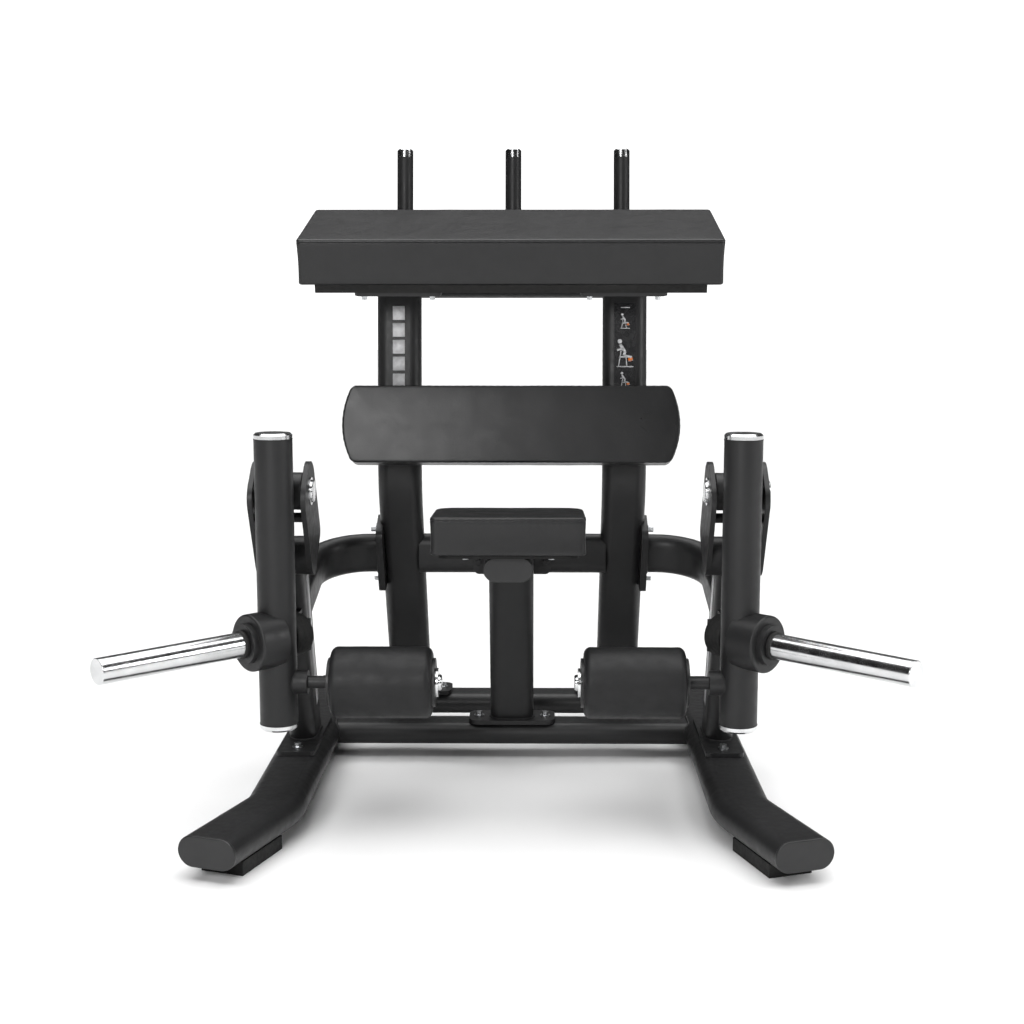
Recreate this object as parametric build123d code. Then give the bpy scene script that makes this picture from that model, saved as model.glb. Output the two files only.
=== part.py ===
from build123d import *
import math
import os

# Plate-loaded leg curl machine, millimetres.  +X to the user's right, +Y the way the user faces,
# +Z up, origin on the floor at the middle of the footprint.

# ---- stock: flat-oval tube, round tube, plate ----
WALL = 3.0
RAIL_W, RAIL_H = 120.0, 60.0          # base rails and side posts
TUBE_W, TUBE_H = 100.0, 50.0          # uprights, cross tubes, knee support
ARCH_W = 92.0                         # mid cross tube and side arches
PLATE = 10.0
CAP = 6.0
GAP = 0.4                             # clearance between a soft part and its neighbour

# ---- base ----
SIDE_X = 460.0                        # plane of each arm, side post and rail
RAIL_Z = 57.0
FLARE = math.radians(19.0)
RAIL_BEND_Y, RAIL_FRONT_Y = -346.0, -586.0
RAIL_BEND_R = 190.0
FRONT_REACH = -RAIL_FRONT_Y + CAP * math.cos(FLARE) + RAIL_W / 2 * math.sin(FLARE)
RAIL_REAR_Y = FRONT_REACH - CAP
RAIL_TOP = RAIL_Z + RAIL_H / 2
FOOT_H = RAIL_Z - RAIL_H / 2
FOOT_W, FOOT_L = 88.0, 150.0
FOOT_START = 56.0                     # along the flare, from the bend
CROSS_Z = 55.0
FRONT_CROSS_Y, REAR_CROSS_Y = 219.0, 482.0
CROSS_TOP = CROSS_Z + TUBE_H / 2

REAR_FOOT_START = 30.0                # along the rail, from its rear end

# ---- uprights ----
UPRIGHT_X = 255.6
UPRIGHT_RUN_ON = 60.0                 # extra length at the foot, cut off flat at the foot plate
UPRIGHT_OVER_Z = 1200.0               # where an upright ends before it is cut to the forearm plate
BEND_Y, BEND_Z = 196.0, 636.0
UPPER_LEAN = math.radians(6.3)
LOWER_FOOT_Y = 465.0
UPRIGHT_BEND_R = 220.0
FOOT_PLATE_W, FOOT_PLATE_D = 200.0, 92.0
FOOT_BOLT_X = 78.0
MID_TUBE_END = UPRIGHT_X - 38.0       # the mid tube stops just inside each upright's rounded side

# ---- mid cross tube, arches, side posts ----
MID_Y, MID_Z = 268.0, 468.0
ARCH_R = 125.0
ARCH_X = 456.0
ARCH_END_Y = -40.0                    # inside the side post, which cuts it off
ARCH_DROP = math.radians(11.5)
FLANGE_X = 313.0                      # bolted joint between upright and arch
FLANGE_Z, FLANGE_L, FLANGE_D = 468.0, 170.0, 96.0
FLANGE_BOLT = 70.0                    # each bolt, from the middle of the flange
POST_FOOT_Y = 55.0                    # post centre line at its base plate
POST_LEAN = math.radians(20.5)
SPACER_Y, SPACER_Z, SPACER_R = -148.0, 533.0, 40.0
POST_BASE_W, POST_BASE_FRONT, POST_BASE_REAR = 82.0, -98.0, 190.0
POST_BASE_BOLT_FRONT, POST_BASE_BOLT_REAR = 36.0, 30.0
POST_RUN_ON_Z = 40.0                  # where a post starts before it is cut at its base plate

# ---- pivot ----
PIVOT_Y, PIVOT_Z = -193.0, 672.0
PIVOT_PLATE_IN = 402.0                # inner face of the bracket
BRACKET_W = 116.0
BRACKET_ROUNDS = (                    # (Y, Z, radius): head, front edge, corner behind, foot
    (-180.0, 676.0, 55.0),
    (-227.0, 660.0, 36.0),
    (-84.0, 574.0, 22.0),
    (SPACER_Y - 4.0, SPACER_Z, SPACER_R),
)
SHAFT_WASHER_R, SHAFT_HEAD_R = 28.0, 23.0
SHAFT_R = 15.0
HOUSING_R, HOUSING_BORE_R = 38.0, 26.0
STOP_BAR_R, STOP_BAR_Z = 10.0, 618.0

# ---- arm ----
ARM_Y = -281.0
ARM_R = 38.0
ARM_BOTTOM, ARM_TOP = 203.0, 798.0
ARM_CAP_H = 12.0
HORN_Z = 388.0
HORN_R = 25.0
HORN_TIP = 396.0                      # from the arm's axis, along the horn
HUB_R, HUB_START, HUB_END = 57.0, 8.0, 70.0
COLLAR_END = 82.0
COLLAR_R = 40.0
HORN_CAP_T = 5.0
ROLLER_Z = 298.0
ROLLER_R = 71.5
ROLLER_IN, ROLLER_OUT = 151.0, 353.0
ROLLER_DISC_R, ROLLER_DISC_T = 49.0, 6.0
AXLE_R = 12.7
AXLE_BOSS_R, AXLE_BOSS_END = 24.0, 400.0
RETAINER_R, RETAINER_T = 29.0, 5.0
RETAINER_DOME_R, RETAINER_DOME_T = 16.0, 7.0
CORE_R = 30.0
SLEEVE_ROUND = 14.0
BUMPER_Z, BUMPER_R, BUMPER_L = 380.0, 44.0, 44.0
BUMPER_PLATE_H, BUMPER_PLATE_W, BUMPER_PLATE_T = 66.0, 62.0, 8.0
BUMPER_WEB_HALF = 24.0
BUMPER_TURN = math.radians(30.0)      # its face is turned outward to meet the hub side of the arm
BUMPER_SHIFT = 18.0                   # from the arm, outward along its face
BUMPER_GAP = 0.5

# ---- pads ----
FOREARM_W, FOREARM_D, FOREARM_T = 912.0, 313.0, 99.5
FOREARM_EDGE = (0, 24.0, 1182.7)      # middle of the front top edge
FOREARM_TILT = 15.1
FOREARM_PLATE_HALF, FOREARM_PLATE_BOLT = 94.0, 74.0
BOARD_T = 18.0
HIP_W, HIP_H, HIP_T, HIP_BOW = 700.0, 170.0, 62.0, 21.0
HIP_EDGE = (0, 60.0, 704.0)           # middle of the front bottom edge
HIP_LEAN = 12.5
KNEE_W, KNEE_D, KNEE_T = 307.0, 215.0, 76.0
KNEE_EDGE = (0, -296.0, 634.0)        # middle of the front top edge
KNEE_TILT = -2.5
KNEE_BOARD_T = 8.0
KNEE_FRONT_R, KNEE_REAR_R = 10.0, 42.0
KNEE_BOLT_X = 86.0
SUPPORT_FRONT = 40.0                  # knee support starts this far behind the pad's front edge
SUPPORT_FLANGE_HALF = 90.0
SUPPORT_FLANGE_DOWN, SUPPORT_FLANGE_UP = 44.0, 62.0
SUPPORT_BOLT_X, SUPPORT_BOLTS = 77.0, (-15.0, 46.0)
KNEE_POST_FOOT_Y, KNEE_POST_LEAN = 212.0, math.radians(17.5)
KNEE_POST_TOP_Z = 520.0               # inside the support tube, which cuts it off
KNEE_FOOT_HALF, KNEE_FOOT_BOLT = 100.0, 77.0

# ---- handles ----
HANDLE_X = 258.0
HANDLE_R = 19.0
HANDLE_TOP_Y, HANDLE_TOP_Z = 462.0, 1410.0
HANDLE_LEAN = math.radians(8.0)
HANDLE_BAR_Z, HANDLE_BAR_R = 1085.0, 25.0
HANDLE_BAR_REACH = 32.0               # bar past the outer handles
HANDLE_CAP_H = 20.0
BAR_ARM_Z = 1010.0                    # where the bar's arms leave the uprights
BAR_ARM_W, BAR_ARM_H = 60.0, 30.0

# ---- instruction plate, on the right upright ----
PLATE_FOOT_Z = 852.0
PLATE_HALF_W, PLATE_L, PLATE_T = 24.0, 194.0, 1.2

SIDES = (("left", -1), ("right", 1))
PARTS = {}


def keep(node, *solids):
    """Collect the solids of one named sub-part."""
    found = PARTS.setdefault(node, [])
    for solid in solids:
        found.extend(solid.solids())


def oval(width, height, wall=None):
    """A flat-oval tube section, hollow when a wall is given."""
    outer = SlotOverall(width, height)
    if wall is None:
        return outer
    return outer - SlotOverall(width - 2 * wall, height - 2 * wall)


def run(start, end, section, wide=(1, 0, 0)):
    """A straight length of a section from start to end, its wide side along the given way."""
    along = Vector(*end) - Vector(*start)
    plane = Plane(origin=start, x_dir=wide, z_dir=along)
    return extrude(plane * section, amount=along.length)


def bend(points, radius, section, wide):
    """A bent length of a section through the points."""
    path = FilletPolyline(*points, radius=radius)
    plane = Plane(origin=path @ 0, x_dir=wide, z_dir=path % 0)
    return sweep(plane * section, path=path)


def block(low, high):
    """A box between two corners."""
    size = [b - a for a, b in zip(low, high)]
    return Pos(*low) * Box(*size, align=(Align.MIN,) * 3)


def drum(centre, axis, radius, length, bore=None):
    """A cylinder that starts at centre and runs along the axis."""
    section = Circle(radius) if bore is None else Circle(radius) - Circle(bore)
    return extrude(Plane(origin=centre, z_dir=axis) * section, amount=length)


def bolt(head, axis, radius=7.5, height=8.0, washer=12.0):
    """A hex head with its washer, standing on a face."""
    seat = drum(head, axis, washer, 2.0)
    lift = Vector(*head) + Vector(*axis).normalized() * 2.0
    hexagon = extrude(Plane(origin=lift, z_dir=axis) * RegularPolygon(radius, 6), amount=height)
    return seat + hexagon


def tilted(origin, degrees):
    """The plane of a pad: local +Y runs rearward along it and local +Z is its normal."""
    angle = math.radians(degrees)
    return Plane(origin=origin, x_dir=(1, 0, 0), z_dir=(0, -math.sin(angle), math.cos(angle)))


def slab(plane, x, y, z, radius=0.0):
    """A box in a plane's own axes, with its vertical corners rounded."""
    body = block((x[0], y[0], z[0]), (x[1], y[1], z[1]))
    if radius:
        body = fillet(body.edges().filter_by(Axis.Z), radius)
    return plane.location * body


# ---------------------------------------------------------------- base
def rail_path(side):
    """The centre line of a base rail, from its rear end to its flared front end."""
    tip_x = SIDE_X + (RAIL_BEND_Y - RAIL_FRONT_Y) * math.tan(FLARE)
    return [(side * SIDE_X, RAIL_REAR_Y, RAIL_Z), (side * SIDE_X, RAIL_BEND_Y, RAIL_Z),
            (side * tip_x, RAIL_FRONT_Y, RAIL_Z)]


def flare_axis(side):
    """The way a rail's flared front end points."""
    return Vector(side * math.sin(FLARE), -math.cos(FLARE), 0)


def end_cap(centre, axis, width, height):
    """A pressed-in end cap with an eased rim."""
    start = Vector(*centre)
    cap = run(centre, start + axis * CAP, oval(width, height), Vector(0, 0, 1).cross(axis))
    outer_face = cap.faces().sort_by(lambda face: (face.center() - start).dot(axis))[-1]
    return fillet(outer_face.edges(), 2.5)


def make_base():
    """Two flared rails with end caps and feet, and the two cross tubes between them."""
    rail_envelopes = {}
    for name, side in SIDES:
        path = rail_path(side)
        rail_envelopes[name] = bend(path, RAIL_BEND_R, oval(RAIL_W, RAIL_H), (1, 0, 0))
        keep(f"{name}_base_rail", bend(path, RAIL_BEND_R, oval(RAIL_W, RAIL_H, WALL), (1, 0, 0)))
        keep("tube_end_caps", end_cap(path[0], Vector(0, 1, 0), RAIL_W, RAIL_H))
        keep("tube_end_caps", end_cap(path[-1], flare_axis(side), RAIL_W, RAIL_H))
        flare = Plane(origin=(side * SIDE_X, RAIL_BEND_Y, 0), x_dir=flare_axis(side), z_dir=(0, 0, 1))
        front = block((FOOT_START, -FOOT_W / 2, 0), (FOOT_START + FOOT_L, FOOT_W / 2, FOOT_H))
        keep("rail_feet", flare.location * front)
        rear_y = RAIL_REAR_Y - REAR_FOOT_START
        keep("rail_feet", block((side * SIDE_X - FOOT_W / 2, rear_y - FOOT_L, 0),
                                (side * SIDE_X + FOOT_W / 2, rear_y, FOOT_H)))
    both_rails = rail_envelopes["left"] + rail_envelopes["right"]
    for node, y in (("front_cross_tube", FRONT_CROSS_Y), ("rear_cross_tube", REAR_CROSS_Y)):
        tube = run((-SIDE_X, y, CROSS_Z), (SIDE_X, y, CROSS_Z), oval(TUBE_W, TUBE_H, WALL), (0, 1, 0))
        middle = (tube - both_rails).solids().sort_by(SortBy.VOLUME)[-1]
        keep(node, middle)


# ---------------------------------------------------------------- uprights
def forearm_plane():
    """The top face of the forearm pad."""
    return tilted(FOREARM_EDGE, FOREARM_TILT)


def upright_points(x):
    """The centre line of an upright: foot, bend and top."""
    rise = UPRIGHT_OVER_Z - BEND_Z
    return [(x, LOWER_FOOT_Y, CROSS_TOP + PLATE), (x, BEND_Y, BEND_Z),
            (x, BEND_Y + rise * math.tan(UPPER_LEAN), BEND_Z + rise)]


def upright(x, wall=None):
    """An upright, cut square to its foot plate below and to the forearm plate above."""
    low, mid, top = upright_points(x)
    down = (Vector(*low) - Vector(*mid)).normalized()
    low = Vector(*low) + down * UPRIGHT_RUN_ON
    body = bend([tuple(low), mid, top], UPRIGHT_BEND_R, oval(TUBE_W, TUBE_H, wall), (1, 0, 0))
    seat = FOREARM_T + BOARD_T + PLATE
    above = slab(forearm_plane(), (-600, 600), (-200, 700), (-seat, 400))
    below = block((-600, 0, -50), (600, 800, CROSS_TOP + PLATE))
    return (body - above - below).solids().sort_by(SortBy.VOLUME)[-1]


def make_uprights():
    """Two bent uprights on bolted foot plates and the tube between them; returns their envelopes."""
    envelopes = []
    for name, side in SIDES:
        x = side * UPRIGHT_X
        keep(f"{name}_upright", upright(x, WALL))
        envelopes.append(upright(x))
        plate = block((x - FOOT_PLATE_W / 2, REAR_CROSS_Y - FOOT_PLATE_D / 2, CROSS_TOP),
                      (x + FOOT_PLATE_W / 2, REAR_CROSS_Y + FOOT_PLATE_D / 2, CROSS_TOP + PLATE))
        plate = fillet(plate.edges().filter_by(Axis.Z), 22.0)
        keep("upright_feet", plate)
        for offset in (-FOOT_BOLT_X, FOOT_BOLT_X):
            keep("frame_bolts", bolt((x + offset, REAR_CROSS_Y, CROSS_TOP + PLATE), (0, 0, 1)))
    ends = [(x, MID_Y, MID_Z) for x in (-MID_TUBE_END, MID_TUBE_END)]
    tube = run(*ends, oval(ARCH_W, TUBE_H, WALL), (0, 0, 1))
    keep("mid_cross_tube", (tube - envelopes[0] - envelopes[1]).solids().sort_by(SortBy.VOLUME)[-1])
    return envelopes


# ---------------------------------------------------------------- side posts and arches
def post_line(z):
    """The side posts' centre line: its Y at a height."""
    return POST_FOOT_Y - (z - RAIL_TOP - PLATE) * math.tan(POST_LEAN)


def post(side, wall=None):
    """A side post, cut flat at its base plate."""
    x = side * SIDE_X
    z_low, z_high = POST_RUN_ON_Z, SPACER_Z
    body = run((x, post_line(z_low), z_low), (x, post_line(z_high), z_high),
               oval(RAIL_W, RAIL_H, wall), (0, 1, 0))
    below = block((x - 200, -400, 0), (x + 200, 400, RAIL_TOP + PLATE))
    return body - below


def bracket_outline():
    """The bracket plate's side view: a round head over the shaft, a corner behind, a narrow foot."""
    circles = [Pos(y, z) * Circle(radius) for y, z, radius in BRACKET_ROUNDS]
    return make_hull([edge for circle in circles for edge in circle.edges()])


def make_arch(side, wall, post_cut):
    """The tube that bends from the upright's flange round to the side post, dropping as it goes."""
    corner = (side * ARCH_X, MID_Y, MID_Z)
    points = [(side * FLANGE_X, MID_Y, MID_Z), corner, (side * ARCH_X, ARCH_END_Y, MID_Z)]
    level = bend(points, ARCH_R, oval(ARCH_W, TUBE_H, wall), (0, 0, 1))
    drop = Pos(0, MID_Y, MID_Z) * Rot(math.degrees(ARCH_DROP), 0, 0) * Pos(0, -MID_Y, -MID_Z)
    return (drop * level - post_cut).solids().sort_by(SortBy.VOLUME)[-1]


def make_sides(upright_envelopes):
    """Each side's post, its base plate, the arch behind it and the pivot bracket on top."""
    for (name, side), upright_cut in zip(SIDES, upright_envelopes):
        x = side * SIDE_X
        spacer_cut = drum((x - 100, SPACER_Y, SPACER_Z), (1, 0, 0), SPACER_R, 200)
        envelope = post(side)
        keep(f"{name}_side_post", (post(side, WALL) - spacer_cut).solids().sort_by(SortBy.VOLUME)[-1])
        base = block((x - POST_BASE_W / 2, POST_BASE_FRONT, RAIL_TOP),
                     (x + POST_BASE_W / 2, POST_BASE_REAR, RAIL_TOP + PLATE))
        keep("post_bases", fillet(base.edges().filter_by(Axis.Z), 12.0))
        for y in (POST_BASE_FRONT + POST_BASE_BOLT_FRONT, POST_BASE_REAR - POST_BASE_BOLT_REAR):
            keep("frame_bolts", bolt((x, y, RAIL_TOP + PLATE), (0, 0, 1)))
        keep(f"{name}_arch_tube", make_arch(side, WALL, envelope))
        make_flanges(side, upright_cut)
        make_bracket(name, side)


def make_flanges(side, upright_cut):
    """The pair of plates that bolt an arch to an upright."""
    lean = math.atan2(LOWER_FOOT_Y - BEND_Y, BEND_Z - CROSS_TOP)
    turn = Pos(0, MID_Y, FLANGE_Z) * Rot(math.degrees(lean), 0, 0)
    half_d, half_l = FLANGE_D / 2, FLANGE_L / 2
    for low, high in ((FLANGE_X - 15.0, FLANGE_X - 7.0), (FLANGE_X - 7.0, FLANGE_X)):
        xs = sorted((side * low, side * high))
        plate = block((xs[0], -half_d, -half_l), (xs[1], half_d, half_l))
        plate = fillet(plate.edges().filter_by(Axis.X), 20.0)
        keep("arch_flanges", (turn * plate - upright_cut).solids().sort_by(SortBy.VOLUME)[-1])
    for z in (-FLANGE_BOLT, FLANGE_BOLT):
        head = turn * Pos(side * FLANGE_X, 0, z)
        keep("frame_bolts", bolt(tuple(head.position), (side, 0, 0), height=12.0))


def make_bracket(name, side):
    """The two pivot plates, their spacer and stop bar, and the fixed shaft between them."""
    outer_face = side * (PIVOT_PLATE_IN + BRACKET_W)
    inner_face = side * PIVOT_PLATE_IN
    hole = Pos(PIVOT_Y, PIVOT_Z) * Circle(SHAFT_R)
    outline = bracket_outline() - hole
    for x in (min(inner_face, inner_face + side * PLATE), min(outer_face, outer_face - side * PLATE)):
        plane = Plane(origin=(x, 0, 0), x_dir=(0, 1, 0), z_dir=(1, 0, 0))
        plate = extrude(plane * outline, amount=PLATE)
        plate -= post(side)
        keep(f"{name}_pivot_plates", plate)
    clear = BRACKET_W - 2 * PLATE
    start = min(side * (PIVOT_PLATE_IN + PLATE), side * (PIVOT_PLATE_IN + PLATE + clear))
    keep("bracket_spacers", drum((start, SPACER_Y, SPACER_Z), (1, 0, 0), SPACER_R, clear, SPACER_R - 4.0))
    keep("bracket_spacers", drum((start, PIVOT_Y, STOP_BAR_Z), (1, 0, 0), STOP_BAR_R, clear))
    shaft_start = min(inner_face - side * 3.0, outer_face + side * 3.0)
    keep("pivot_shafts", drum((shaft_start, PIVOT_Y, PIVOT_Z), (1, 0, 0), SHAFT_R, BRACKET_W + 6.0))
    for face, way in ((inner_face, -side), (outer_face, side)):
        washer = drum((face, PIVOT_Y, PIVOT_Z), (way, 0, 0), SHAFT_WASHER_R, 3.0, SHAFT_R)
        head = drum((face + way * 3.0, PIVOT_Y, PIVOT_Z), (way, 0, 0), SHAFT_HEAD_R, 5.0)
        far_edge = head.edges().group_by(Axis.X)[-1 if way > 0 else 0]
        keep("pivot_shaft_caps", washer + fillet(far_edge, 3.0))
    make_bumper(side)


def make_bumper(side):
    """The rubber stop behind the arm, on a boxed bracket from the front of the side post."""
    rear = Vector(-side * math.sin(BUMPER_TURN), math.cos(BUMPER_TURN), 0)
    outward = Vector(side * math.cos(BUMPER_TURN), math.sin(BUMPER_TURN), 0)
    face = Vector(side * SIDE_X, ARM_Y, BUMPER_Z) + rear * (ARM_R + BUMPER_GAP) + outward * BUMPER_SHIFT
    puck = drum(tuple(face), tuple(rear), BUMPER_R, BUMPER_L)
    rim = puck.edges().sort_by(lambda e: (e.center() - face).dot(rear))[0]
    keep("arm_bumpers", fillet(rim, 5.0))
    back = face + rear * BUMPER_L
    plane = Plane(origin=back, x_dir=(0, 0, 1), z_dir=rear)
    bracket = extrude(plane * Rectangle(BUMPER_PLATE_H, BUMPER_PLATE_W), amount=BUMPER_PLATE_T)
    middle = side * SIDE_X
    for z in (BUMPER_Z - BUMPER_PLATE_H / 2, BUMPER_Z + BUMPER_PLATE_H / 2 - BUMPER_PLATE_T):
        bracket += block((middle - BUMPER_WEB_HALF, back.Y - BUMPER_R, z),
                         (middle + BUMPER_WEB_HALF, post_line(z), z + BUMPER_PLATE_T))
    behind_puck = extrude(plane * Rectangle(400.0, 400.0), amount=400.0)
    bracket = (bracket & behind_puck) - post(side)
    keep("bumper_brackets", bracket.solids().sort_by(SortBy.VOLUME)[-1])


# ---------------------------------------------------------------- arms
def make_arm(name, side):
    """One swinging arm: tube, caps, pivot housing, hub, horn and roller."""
    x = side * SIDE_X
    outward = Vector(side * math.cos(math.pi / 4), -math.sin(math.pi / 4), 0)
    arm_solid = drum((x, ARM_Y, ARM_BOTTOM), (0, 0, 1), ARM_R, ARM_TOP - ARM_BOTTOM)
    tube_length = ARM_TOP - ARM_BOTTOM - 2 * ARM_CAP_H
    keep(f"{name}_arm_tube", drum((x, ARM_Y, ARM_BOTTOM + ARM_CAP_H), (0, 0, 1), ARM_R, tube_length, ARM_R - 4.0))
    for z, way in ((ARM_TOP - ARM_CAP_H, 1), (ARM_BOTTOM + ARM_CAP_H, -1)):
        cap = drum((x, ARM_Y, z), (0, 0, way), ARM_R, ARM_CAP_H)
        keep(f"{name}_arm_caps", chamfer(cap.edges().group_by(Axis.Z)[-1 if way > 0 else 0], 4.0))
    make_housing(name, side, arm_solid)
    centre = Vector(x, ARM_Y, HORN_Z)
    hub = drum(tuple(centre + outward * HUB_START), tuple(outward), HUB_R, HUB_END - HUB_START)
    hub = fillet(hub.edges().sort_by(lambda e: (e.center() - centre).dot(outward))[-1], 4.0)
    collar = drum(tuple(centre + outward * HUB_END), tuple(outward), COLLAR_R, COLLAR_END - HUB_END)
    keep(f"{name}_arm_bosses", (hub - arm_solid).solids().sort_by(SortBy.VOLUME)[-1] + collar)
    horn_length = HORN_TIP - COLLAR_END - HORN_CAP_T
    keep(f"{name}_weight_horn", drum(tuple(centre + outward * COLLAR_END), tuple(outward), HORN_R, horn_length))
    cap = drum(tuple(centre + outward * (HORN_TIP - HORN_CAP_T)), tuple(outward), HORN_R, HORN_CAP_T)
    rim = cap.edges().sort_by(lambda e: (e.center() - centre).dot(outward))[-1]
    keep(f"{name}_arm_caps", fillet(rim, 1.5))
    make_roller(name, side, arm_solid)


def make_housing(name, side, arm_solid):
    """The bearing housing beside the arm tube, with its web and two bearings."""
    half = (BRACKET_W - 2 * PLATE) / 2 - 4.0
    middle = side * (PIVOT_PLATE_IN + BRACKET_W / 2)
    housing = drum((middle - half, PIVOT_Y, PIVOT_Z), (1, 0, 0), HOUSING_R, 2 * half)
    web = block((middle - 22.0, ARM_Y, PIVOT_Z - 34.0), (middle + 22.0, PIVOT_Y, PIVOT_Z + 34.0))
    bore = drum((middle - 100, PIVOT_Y, PIVOT_Z), (1, 0, 0), HOUSING_BORE_R, 200)
    body = housing + web - bore - arm_solid
    keep(f"{name}_pivot_housing", body.solids().sort_by(SortBy.VOLUME)[-1])
    for way in (-1, 1):
        start = middle + way * (half - 2.0)
        bearing = drum((start, PIVOT_Y, PIVOT_Z), (-way, 0, 0), HOUSING_BORE_R, 16.0, SHAFT_R + 0.05)
        keep(f"{name}_pivot_bearings", bearing)


def make_roller(name, side, arm_solid):
    """The axle's boss, the axle with its retainer, and the foam roller that turns on it."""
    def along(x):
        return (side * x, ARM_Y, ROLLER_Z)
    inward = (-side, 0, 0)
    boss = drum(along(SIDE_X), inward, AXLE_BOSS_R, SIDE_X - AXLE_BOSS_END)
    keep(f"{name}_arm_bosses", (boss - arm_solid).solids().sort_by(SortBy.VOLUME)[-1])
    axle_end = ROLLER_IN - ROLLER_DISC_T - 1.0
    keep(f"{name}_roller_axle", drum(along(AXLE_BOSS_END), inward, AXLE_R, AXLE_BOSS_END - axle_end))
    retainer = drum(along(axle_end), inward, RETAINER_R, RETAINER_T)
    dome = drum(along(axle_end - RETAINER_T), inward, RETAINER_DOME_R, RETAINER_DOME_T)
    tip = dome.edges().group_by(Axis.X)[-1 if side < 0 else 0]
    keep(f"{name}_axle_retainer", retainer + fillet(tip, 4.0))
    foam = drum(along(ROLLER_OUT), inward, ROLLER_R, ROLLER_OUT - ROLLER_IN, CORE_R)
    rims = foam.edges().filter_by(GeomType.CIRCLE).filter_by(lambda e: e.radius > ROLLER_R - 1.0)
    keep(f"{name}_roller_foam", fillet(rims, SLEEVE_ROUND))
    bore = AXLE_R + 0.06
    core = drum(along(ROLLER_OUT), inward, CORE_R, ROLLER_OUT - ROLLER_IN, bore)
    core += drum(along(ROLLER_OUT + ROLLER_DISC_T), inward, ROLLER_DISC_R, ROLLER_DISC_T, bore)
    core += drum(along(ROLLER_IN), inward, ROLLER_DISC_R, ROLLER_DISC_T, bore)
    keep(f"{name}_roller_core", core)


# ---------------------------------------------------------------- pads
def make_forearm_pad():
    """The forearm pad, its board and the two plates that seat it on the uprights."""
    plane = forearm_plane()
    half = FOREARM_W / 2
    keep("forearm_pad", slab(plane, (-half, half), (0, FOREARM_D), (-FOREARM_T, 0), 6.0))
    base = -FOREARM_T - BOARD_T
    board_half = half - 34.0
    board = slab(plane, (-board_half, board_half), (4.0, FOREARM_D - 4.0), (base, -FOREARM_T - GAP), 3.0)
    keep("pad_boards", board)
    down = -Vector(*plane.z_dir)
    for _, side in SIDES:
        x = side * (UPRIGHT_X - 11.0)
        across = (x - FOREARM_PLATE_HALF, x + FOREARM_PLATE_HALF)
        keep("forearm_pad_plates", slab(plane, across, (12.0, FOREARM_D - 40.0), (base - PLATE, base), 14.0))
        for offset in (-FOREARM_PLATE_BOLT, FOREARM_PLATE_BOLT):
            for depth in (30.0, FOREARM_D - 60.0):
                foot = plane.location * Pos(x + offset, depth, base - PLATE)
                keep("pad_bolts", bolt(tuple(foot.position), tuple(down), 6.5, 9.0, 10.0))


def make_hip_pad(upright_envelopes):
    """The bow-ended hip pad, its board and a block on each upright."""
    angle = math.radians(HIP_LEAN)
    plane = Plane(origin=HIP_EDGE, x_dir=(1, 0, 0), z_dir=(0, -math.cos(angle), math.sin(angle)))
    half = HIP_W / 2
    with BuildSketch() as outline:
        with BuildLine():
            Line((-half, 0), (half, 0))
            ThreePointArc((half, 0), (half + HIP_BOW, HIP_H / 2), (half, HIP_H))
            Line((half, HIP_H), (-half, HIP_H))
            ThreePointArc((-half, HIP_H), (-half - HIP_BOW, HIP_H / 2), (-half, 0))
        make_face()
    keep("hip_pad", plane.location * extrude(outline.sketch, amount=-HIP_T))
    board = block((-half + 20.0, 8.0, -HIP_T - BOARD_T), (half - 20.0, HIP_H - 8.0, -HIP_T - GAP))
    keep("pad_boards", plane.location * board)
    back = -HIP_T - BOARD_T
    for (_, side), cut in zip(SIDES, upright_envelopes):
        x = side * UPRIGHT_X
        bracket = plane.location * block((x - 40.0, 30.0, back - 60.0), (x + 40.0, HIP_H - 30.0, back))
        in_front = (bracket - cut).solids().sort_by(lambda solid: solid.center().Y)[0]
        keep("hip_pad_brackets", in_front)


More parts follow.
